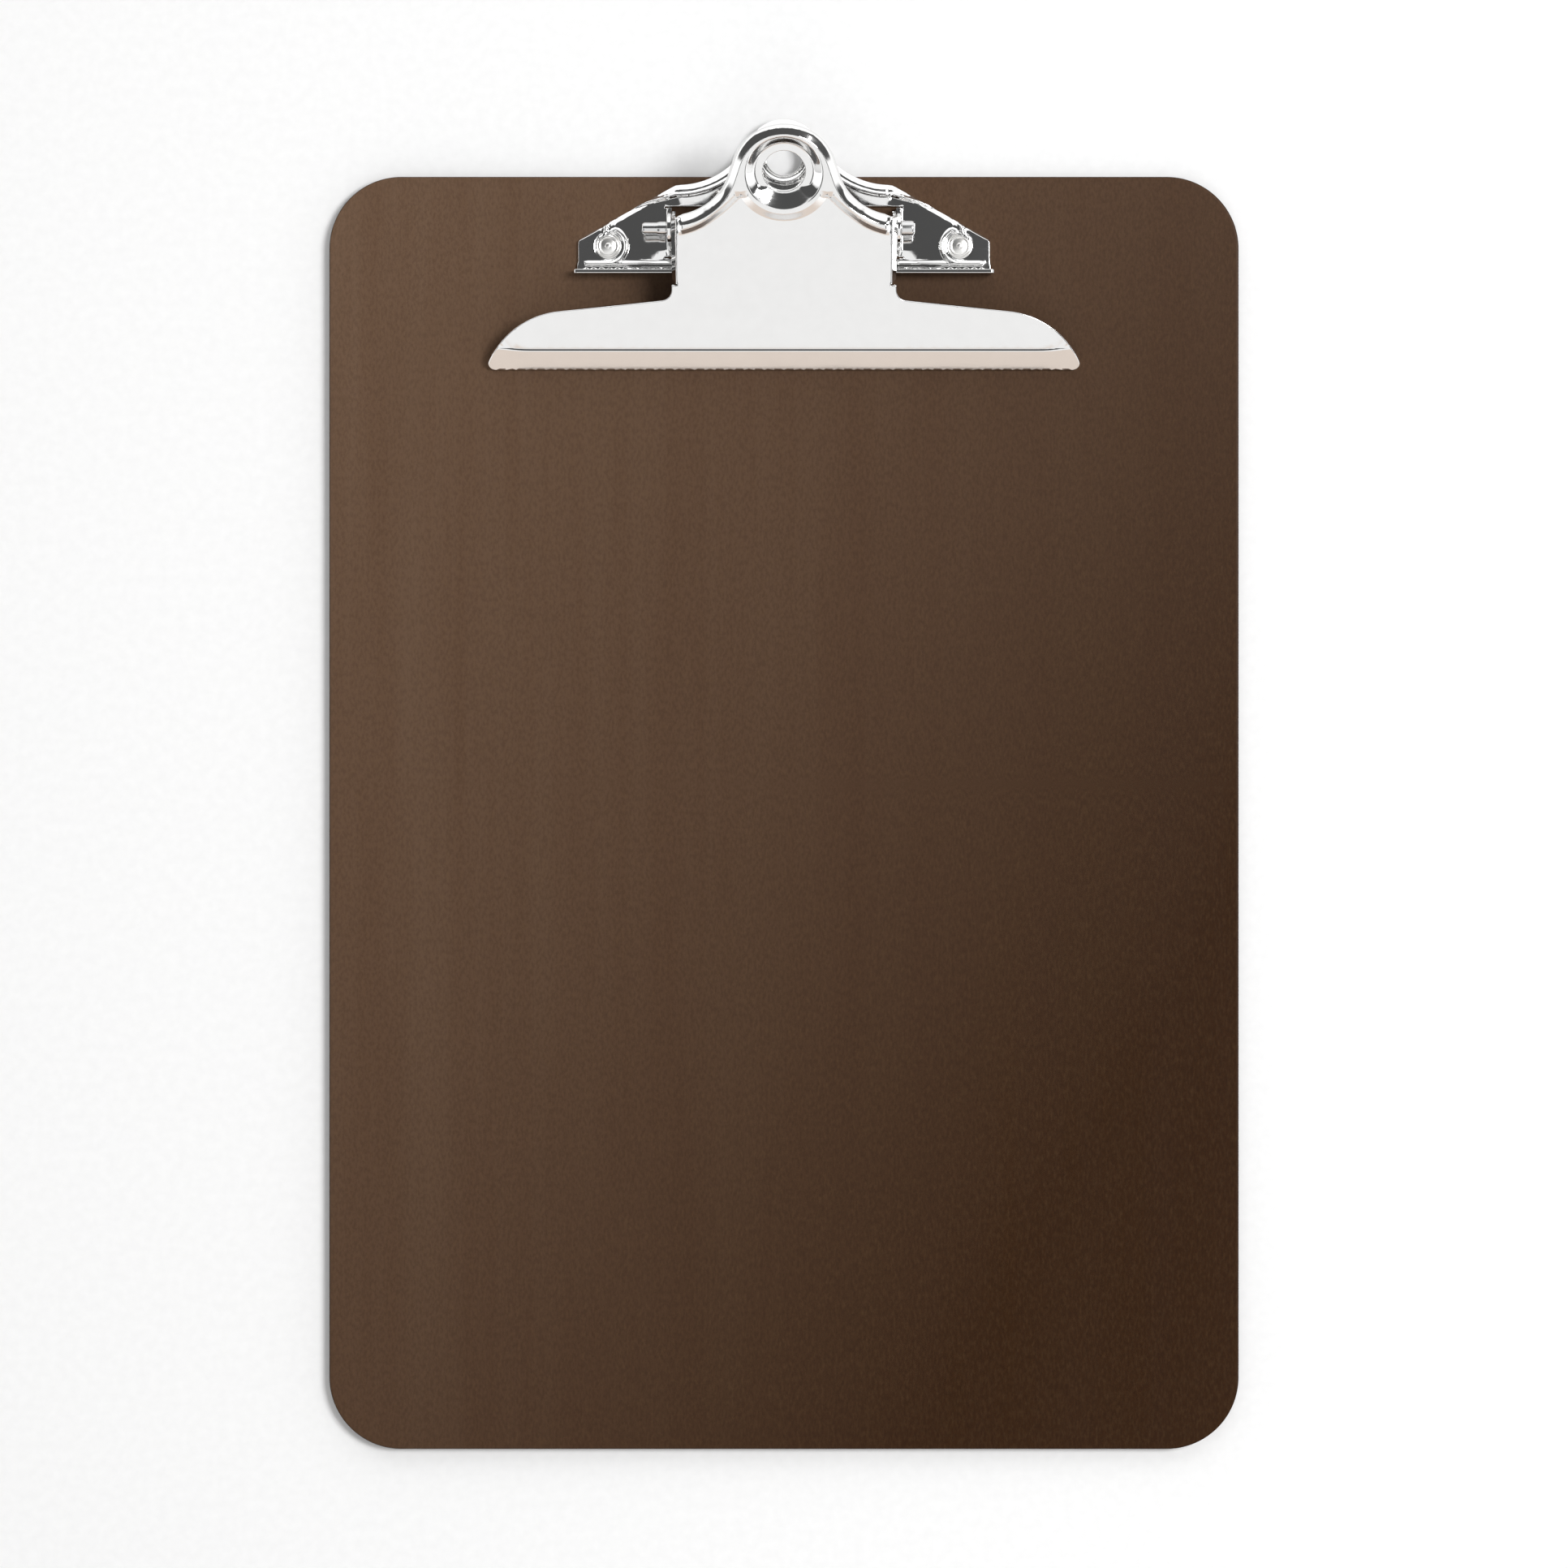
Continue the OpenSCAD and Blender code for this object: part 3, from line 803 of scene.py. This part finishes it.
def lever_outline():
    """The blank's half outline, and the part of it that is the raised rim's edge."""
    span = FLARE - THUMB
    lean = math.acos((THUMB_R + FLARE_R) / np.linalg.norm(span))
    touch = math.degrees(math.atan2(span[1], span[0]) + lean)
    rim = chain(
        arc(THUMB, THUMB_R, 90, touch),
        line(THUMB + polar(THUMB_R, touch), FLARE + polar(FLARE_R, touch + 180), 0.5),
        arc(FLARE, FLARE_R, touch + 180, 270 - math.degrees(math.asin((FLARE[0] - FOLD_X) / FLARE_R))),
    )
    high, angle_high = tangent_point([TAB_X, FLANGE_HIGH], LUG, LUG_R, -1)
    low, angle_low = tangent_point([TAB_LOW_X, FLANGE_LOW], LUG, LUG_R, 1)
    relief_v = FLANGE_LOW - RELIEF
    corner_v = LIP_END + TIP_R
    reach = corner_v - WING[1]
    corner = np.array([WING[0] + math.sqrt((WING_R - TIP_R) ** 2 - reach**2), corner_v])
    tip = math.degrees(math.atan2(reach, corner[0] - WING[0]))
    waist = arc([STEM_X + WAIST_R, WAIST_V], WAIST_R, 180, 270 - WING_SLOPE, 0.3)
    half = chain(
        rim,
        line(rim[-1], [FOLD_X, rim[-1][1]]),
        line([FOLD_X, FLANGE_HIGH], [TAB_X, FLANGE_HIGH], 0.3),
        line([TAB_X, FLANGE_HIGH], high),
        arc(LUG, LUG_R, angle_high, angle_low - 360 if angle_low > angle_high else angle_low, 0.5),
        line(low, [TAB_LOW_X, FLANGE_LOW]),
        line([TAB_LOW_X, FLANGE_LOW], [FOLD_X, FLANGE_LOW], 0.3),
        line([FOLD_X, relief_v], [STEM_X, relief_v]),
        line([STEM_X, relief_v], waist[0]),
        waist,
        line(waist[-1], WING + polar(WING_R, 90 - WING_SLOPE)),
        arc(WING, WING_R, 90 - WING_SLOPE, tip, 0.6),
        arc(corner, TIP_R, tip, -90, 0.3),
        line([corner[0], LIP_END], [0, LIP_END], 2.5),
    )
    return half, rim


def stem_foot():
    """The stem's upper edge, from its right side to the middle, at the foot of the raised band.

    It is a smooth curve through the points, and then an arc round the hole."""
    points = np.array([[29.0, 1.5], [25.2, 2.0], [22.0, 3.0], [18.8, 4.7], [14.5, 8.1], [10.7, 11.74]])
    t = np.linspace(0, len(points) - 1, 60)
    before = np.vstack([2 * points[0] - points[1], points, 2 * points[-1] - points[-2]])
    i = np.minimum(t.astype(int), len(points) - 2)
    f = (t - i)[:, None]
    a, b, c, d = (before[i + k] for k in range(4))
    side = 0.5 * (2 * b + (c - a) * f + (2 * a - 5 * b + 4 * c - d) * f**2 + (3 * b - a - 3 * c + d) * f**3)
    cusp = side[-1] - HOLE
    start = math.degrees(math.atan2(cusp[1], cusp[0]))
    return chain(side, arc(HOLE, np.linalg.norm(cusp), start, -90, 0.4))


def make_lever():
    half, rim = lever_outline()
    loops = [whole(half), circle(HOLE, HOLE_R)] + [circle(LUG, LUG_HOLE_R, 0.3) * [s, 1] for s in (1, -1)]
    rims = [rim, mirrored(rim)]
    foot = stem_foot()
    foot_line = chain(foot, mirrored(foot)[1:])
    # Everything below the foot line, out past the blank's sides and end
    far_x, far_v = STEM_X + 60, -60
    stem = np.array([*foot_line, [-far_x, foot_line[-1][1]], [-far_x, far_v], [far_x, far_v],
                     [far_x, foot_line[0][1]]])

    def top(p):
        edge = distance(p, rims, closed=False)
        across, off = np.abs(p[:, 0]), p - HOLE
        r = np.linalg.norm(off, axis=1)
        below = np.degrees(np.arccos(np.clip(-off[:, 1] / np.maximum(r, TINY), -1, 1)))
        band_w = BAND_W + BAND_WIDER * smooth(*BAND_WIDER_X, across)
        band = RIM_H * ramp(0, 1, distance(p, [foot_line], closed=False) / band_w, 0.12)
        inner = COLLAR_R - (COLLAR_R - COLLAR_LOW_R) * smooth(*COLLAR_LOW, below)
        bowl = COLLAR_H + (RIM_H - COLLAR_H) * ramp(0, 1, (r - inner) / (BOWL_R - inner), 0.1)
        edge_w = EDGE_W * (1 + EDGE_WIDER * smooth(*EDGE_WIDER_V, p[:, 1]))
        outer = RIM_H - ROLL_DROP * ramp(ROLL_W, 0, edge, 0.12)
        outer -= EDGE_SLOPE * edge_w * ramp(1, 0, edge / edge_w, 0.2)
        high = np.minimum(np.where(r < BOWL_R + 1, np.minimum(bowl, RIM_H), band), outer)
        raised = ~inside(p, [stem]) & (p[:, 1] > 0)
        return np.where(raised, high * ramp(FOLD_X, FOLD_X - BAND_END, across, 0.15), 0)

    def place(p, h):
        x, v = p[:, 0], p[:, 1]
        crease = CREASE_V + CREASE_RISE * smooth(*CREASE_X, np.abs(x))
        t = np.clip((crease - v) / (crease - LIP_END), 0, 1)
        s = t * LIP_S[-1]
        slope, shift, drop = (np.interp(s, LIP_S, curve) for curve in (LIP_SLOPE, LIP_SHIFT, LIP_DROP))
        lip = v < crease
        h = h - GROOVE * np.exp(-(((v - crease - GROOVE_W) / GROOVE_W) ** 2))
        out_v = np.where(lip, CREASE_V + (crease - CREASE_V) * (1 - t) + shift - h * np.sin(slope), v)
        out_w = PLATE_W + np.where(lip, drop + h * np.cos(slope), h)
        out_x = x.copy()
        u = np.abs(x) - FOLD_X
        tab = (u > 0) & (v < FLANGE_HIGH + RELIEF / 2) & (v > FLANGE_LOW - RELIEF / 2)
        turn, run, fall = (np.interp(u, FOLD_U, curve) for curve in (FOLD_SLOPE, FOLD_RUN, FOLD_DROP))
        out_x[tab] = (np.sign(x) * (FOLD_X + run + h * np.sin(turn)))[tab]
        out_w[tab] = (PLATE_W - fall + h * np.cos(turn))[tab]
        y = PIVOT[1] + out_v * math.cos(TILT) - out_w * math.sin(TILT)
        z = PIVOT[2] + out_v * math.sin(TILT) + out_w * math.cos(TILT)
        return np.column_stack([out_x, y, z])

    edge_rows = both_sides((0.3, 0.5, 0.7, 0.95, 1.2, 1.5, 1.75, 1.85, 1.95, 2.1, 2.4, 2.8))
    foot_rows = both_sides((0.08, 0.2, 0.5, 0.9, 1.15, 1.3, 1.45, 1.7, 1.85, 2.0, 2.15, 2.4))
    dish_rows = (5.7, 5.9, 6.3, 6.7, 7.0, 7.15, 7.3, 7.45, 7.8, 8.3, 8.8, 9.2, 9.4, 9.55, 9.75, 10.0)
    fold_rows = (0, 0.16, 0.32, 0.48, 0.63, 1.5, 2.4, 3.2, 3.85, 4.0, 4.1, 6.0, 8.0)
    end_rows = (0.1, 0.3, 0.6, 0.9, 1.2, 1.4)
    lip_rows = CREASE_V - np.concatenate([np.arange(-0.6, 0.75, 0.085), np.arange(1.0, LIP_S[-1], 0.4)])
    seeds = [offsets(b, False, edge_rows) for b in rims]
    seeds += [offsets(foot_line, False, foot_rows)]
    seeds += [circle(HOLE, r, 0.45) for r in dish_rows]
    seeds += [both(row([FOLD_X + u, FLANGE_LOW], [FOLD_X + u, FLANGE_HIGH], 0.7)) for u in fold_rows]
    seeds += [both(row([FOLD_X - u, 0], [FOLD_X - u, 6.4], 0.3)) for u in end_rows]
    seeds += [row([-JAW_X, v + h], [JAW_X, v + h], 1.6) for v in lip_rows for h in (0, HAIR)]
    seeds += [grid(-FOLD_X, FOLD_X, -26, THUMB[1] + THUMB_R, 3.0)]
    seeds += [grid(-JAW_X, JAW_X, -26, -14, 3.0)]
    shape = formed_sheet(loops, seeds, top, place, SHEET_T, EDGE_R)
    piece = new_mesh("clip_lever_plate", *shape, "lever", "lever_chrome", MATERIALS["lever"])
    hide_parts("clip_lever")


# ---- Rivets and pin ----

# The rolled end's outer edge, its crease, its inner edge and the button in its middle
ROLL_R, ROLL_CREASE_R, ROLL_INNER_R, BUTTON_R = 3.25, 2.72, 1.9, 0.8


def make_rivets():
    def dome(r, low, high, rise):
        return rise * np.sqrt(np.clip(1 - ((2 * r - low - high) / (high - low)) ** 2, 0, 1))

    r = np.linspace(ROLL_R, 0.0, 110)
    z = np.where(r < ROLL_INNER_R, 0.3 - 0.22 * (r / ROLL_INNER_R) ** 2, 0)
    z += dome(r, ROLL_CREASE_R, ROLL_R, 0.22)
    z += dome(r, ROLL_INNER_R, ROLL_CREASE_R, 0.4)
    z += dome(r, -BUTTON_R, BUTTON_R, 0.3)
    profile = [(0.0, 0.0), (RIVET_HEAD_R - 0.15, 0.0), (RIVET_HEAD_R, 0.12), (RIVET_HEAD_R, 0.4),
               (RIVET_R, 1.5), (RIVET_R, BASE_TOP - COIN_DROP - 0.01), *zip(r, BASE_TOP - COIN_DROP + z)]
    for side, node in ((-1, "rivet_left"), (1, "rivet_right")):
        shape = lathe(profile, [side * RIVET[0], RIVET[1], 0], [0, 0, 1], 80)
        piece = new_mesh(node + "_turned", *shape, "board_assembly", "rivet_steel", MATERIALS["rivet"])
        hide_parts(node)


def make_pin():
    """The staked end is on the left and the head on the right, each outside its ear."""
    low, high = box_mm("pivot_pin")
    left, right = low[0], high[0]
    stake_r, head_r, ear = 1.75, 1.95, 29.1
    profile = [(0.0, left), (0.9, left + 0.02), (1.3, left + 0.22), (PIN_R, left + 0.7), (PIN_R, -31.6),
               (1.66, -31.3), (stake_r, -30.6), (stake_r, -29.5), (1.6, -29.25), (PIN_R, -ear), (PIN_R, ear),
               (1.9, 29.15), (head_r, 29.4), (head_r, right - 0.7), (1.78, right - 0.25),
               (1.35, right - 0.04), (0.0, right)]
    shape = lathe(profile, [0, PIVOT[1], PIVOT[2]], [1, 0, 0], 48)
    piece = new_mesh("pivot_pin_turned", *shape, "board_assembly", "pin_steel", MATERIALS["pin"])
    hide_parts("pivot_pin")


# ---- Torsion spring ----

WIRE_D = 1.4
WIRE_SIDES = 14
WIRE_GAP = 0.05
COIL_R = 2.6
COIL_X = 8.0
COIL_PITCH = 1.5
COIL_TURNS = 5
REST_Y = 8.6
PUSH_V = 6
FOOT_X = 4.5
BEND = 1.6


def corner(a, p, b):
    """A bend at p in the wire that comes from a and goes to b."""
    a, p, b = (np.asarray(q, float) for q in (a, p, b))
    u, v = p + BEND * unit(a - p), p + BEND * unit(b - p)
    return [(1 - t) ** 2 * u + 2 * t * (1 - t) * p + t * t * v for t in np.linspace(0, 1, 9)]


def between(p, q, stops):
    return [p + (q - p) * t for t in stops]


def spring_path():
    """The right half of the wire, from the middle of the cross bar to the foot under the lever."""
    rest = np.array([REST_Y, BASE_TOP + WIRE_D / 2 + WIRE_GAP - PIVOT[2]])
    w = PLATE_W - SHEET_T - WIRE_D / 2 - WIRE_GAP
    push = np.array([PUSH_V * math.cos(TILT) - w * math.sin(TILT),
                     PUSH_V * math.sin(TILT) + w * math.cos(TILT)])
    a0 = tangent_point(rest, np.zeros(2), COIL_R, -1)[1] + 360
    a1 = tangent_point(push, np.zeros(2), COIL_R, 1)[1] - 360 * COIL_TURNS
    end = COIL_X + COIL_PITCH * (a0 - a1) / 360
    turn = np.linspace(0, 1, round((a0 - a1) / 360 * 40) + 1)
    coil = [np.array([COIL_X + t * (end - COIL_X), *polar(COIL_R, a0 + t * (a1 - a0))]) for t in turn]
    bar, foot = np.array([COIL_X, *rest]), np.array([end, *push])
    tip = foot + [FOOT_X, 0, 0]
    bar_corner = corner([0, *rest], bar, coil[0])
    foot_corner = corner(coil[-1], foot, tip)
    path = [np.array([x, *rest]) for x in np.linspace(0, COIL_X - BEND, 8)[:-1]] + bar_corner
    path += between(bar_corner[-1], coil[0], np.linspace(0, 1, 8)[1:-1]) + coil
    path += between(coil[-1], foot_corner[0], np.linspace(0, 1, 6)[1:-1]) + foot_corner
    path += between(foot_corner[-1], tip, (0.5, 0.9, 1.0))
    return np.array(path) + PIVOT, end


def make_spring():
    """Two mirrored halves. Each turns from the base, at its cross bar, to the lever, at its foot."""
    path, end = spring_path()
    radii = np.full(len(path), WIRE_D / 2)
    radii[-1] *= 0.8
    for side, name in ((1, "torsion_spring_right"), (-1, "torsion_spring_left")):
        vertices, faces = sweep(path, radii, WIRE_SIDES)
        if side < 0:
            vertices, faces = vertices * [-1, 1, 1], [f[::-1] for f in faces]
        piece = new_mesh(name, vertices, faces, None, "spring_steel", MATERIALS["spring"])
        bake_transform(piece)
        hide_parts("torsion_spring")


make_board()
make_base()
make_lever()
make_rivets()
make_pin()
make_spring()

# ---- Stage, lights and camera ----

FLOOR = 4

# The studio overhead, by the X and Y of each direction: where the dark cloth behind and the dark flags at
# both sides of the front panel begin and end, and how bright each part is
CLOTH_OUT = (0.93, 0.97)
CLOTH_BACK = (0.60, 0.68)
CLOTH_FRONT = (-0.08, -0.17)
FLAG_AT = (0.58, -0.56)
FLAG_R = (0.26, 0.36)
WALL_Y = (-0.84, -0.93)
CLOTH, FLAG, PANEL, PALE = 0.085, 0.12, 1.03, 1.35
WALL = (0.86, 0.75, 0.67)

KEY_AT, KEY_SIZE, KEY_POWER = (1.3, 0.45, 2.08), 0.9, 43.5

CAMERA_DISTANCE = 1200.0
FRAME_WIDTH = 393.1
SENSOR = 36


def stage_floor():
    mesh = bpy.data.meshes.new("floor")
    corners = [(-FLOOR, -FLOOR, 0), (FLOOR, -FLOOR, 0), (FLOOR, FLOOR, 0), (-FLOOR, FLOOR, 0)]
    mesh.from_pydata(corners, [], [(0, 1, 2, 3)])
    material, n = new_material("white paper")
    tone = n.span(n.noise(n.position(), 400.0, 3.0), 0.3, 0.7, 0.9, 0.93)
    grey = n.add("ShaderNodeCombineColor", {0: tone, 1: tone, 2: tone}).outputs[0]
    n.shade(Base_Color=grey, Roughness=0.8)
    mesh.materials.append(material)
    floor = bpy.data.objects.new("floor", mesh)
    bpy.context.scene.collection.objects.link(floor)


def key_light():
    """One soft square light, aimed at the frame's origin."""
    data = bpy.data.lights.new("key", "AREA")
    data.shape = "RECTANGLE"
    data.size = data.size_y = KEY_SIZE
    data.energy = KEY_POWER
    lamp = bpy.data.objects.new("key", data)
    lamp.location = KEY_AT
    lamp.rotation_euler = (-Vector(KEY_AT)).to_track_quat("-Z", "Y").to_euler()
    bpy.context.scene.collection.objects.link(lamp)


def studio_world():
    """A pale studio with a dark cloth overhead at the back and two dark flags at the front."""
    world = bpy.data.worlds.new("studio")
    n = Nodes(world, "Background")
    axes = n.axes("ShaderNodeTexCoord", "Generated")

    def step(value, limits):
        """0 up to the first limit and 1 from the second, where the second may be the lower one."""
        ends = (0.0, 1.0) if limits[0] < limits[1] else (1.0, 0.0)
        return n.span(value, min(limits), max(limits), *ends, interpolation_type="SMOOTHSTEP")

    def length(x, y):
        return n.maths("SQRT", n.maths("ADD", n.maths("MULTIPLY", x, x), n.maths("MULTIPLY", y, y)))

    def blend(factor, a, b):
        return n.maths("ADD", n.maths("MULTIPLY", factor, n.maths("SUBTRACT", b, a)), a)

    beyond = n.maths("MAXIMUM", step(length(axes["X"], axes["Y"]), CLOTH_OUT), step(axes["Y"], CLOTH_BACK))
    side = n.maths("SUBTRACT", n.maths("ABSOLUTE", axes["X"]), FLAG_AT[0])
    front = blend(step(length(side, n.maths("SUBTRACT", axes["Y"], FLAG_AT[1])), FLAG_R), FLAG, PANEL)
    level = blend(beyond, blend(step(axes["Y"], CLOTH_FRONT), CLOTH, front), PALE)
    wall = step(axes["Y"], WALL_Y)
    tone = [blend(wall, level, part) for part in WALL]
    n.shade(Color=n.add("ShaderNodeCombineColor", dict(enumerate(tone))).outputs[0])
    bpy.context.scene.world = world


def camera():
    """It looks straight down on the board, from over the frame's origin."""
    data = bpy.data.cameras.new("camera")
    data.sensor_width = SENSOR
    data.lens = SENSOR * CAMERA_DISTANCE / FRAME_WIDTH
    data.clip_end = 20
    eye = bpy.data.objects.new("camera", data)
    eye.location = (0, 0, (BOARD_T + CAMERA_DISTANCE) * MM)
    bpy.context.scene.collection.objects.link(eye)
    bpy.context.scene.camera = eye


stage_floor()
studio_world()
key_light()
camera()
bpy.context.scene.view_settings.view_transform = "Standard"
